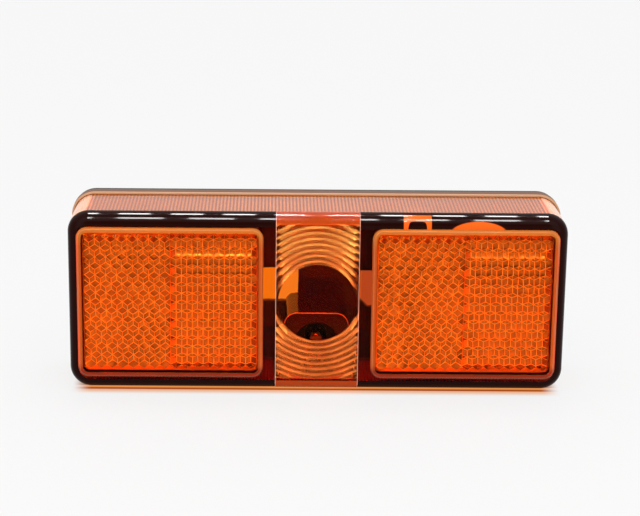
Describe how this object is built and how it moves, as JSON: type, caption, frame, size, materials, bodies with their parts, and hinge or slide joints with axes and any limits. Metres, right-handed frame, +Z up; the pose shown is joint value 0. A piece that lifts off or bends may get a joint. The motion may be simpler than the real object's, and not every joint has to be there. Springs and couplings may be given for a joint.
{
  "type": "side marker lamp",
  "caption": "Rectangular amber side marker lamp with a ring lens in the middle, corner-prism reflectors on both sides and a black base with rear studs.",
  "frame": {"origin": "centre of the rear mounting face", "axes": "+X along the width, the lens looks towards -Y, +Y is the outward normal of the mounting face, +Z up with the lamp standing on its long edge"},
  "size_m": [0.1172, 0.0394, 0.0438],
  "materials": {
    "amber_lens": "clear amber, polished",
    "amber_prism": "clear amber with moulded prisms",
    "prism_cover": "dark amber, smooth",
    "black_base": "black, moulded, slightly glossy",
    "black_holder": "black, fine moulded grain",
    "seal_rubber": "soft black rubber",
    "clear_glass": "clear, polished",
    "lamp_wire": "drawn wire",
    "contact_brass": "rolled strip",
    "stud_steel": "zinc-plated, thread rolled"
  },
  "bodies": {
    "root": {"lens": "amber_lens", "reflex_left": "amber_prism", "reflex_right": "amber_prism", "reflex_cover_left": "prism_cover", "reflex_cover_right": "prism_cover", "base_plate": "black_base", "bulb_holder": "black_holder", "holder_seal": "seal_rubber", "bulb_glass": "clear_glass", "bulb_filament": "lamp_wire", "bulb_leads": "lamp_wire", "contact_upper": "contact_brass", "contact_lower": "contact_brass", "stud_left": "stud_steel", "stud_right": "stud_steel"}
  },
  "joints": []
}
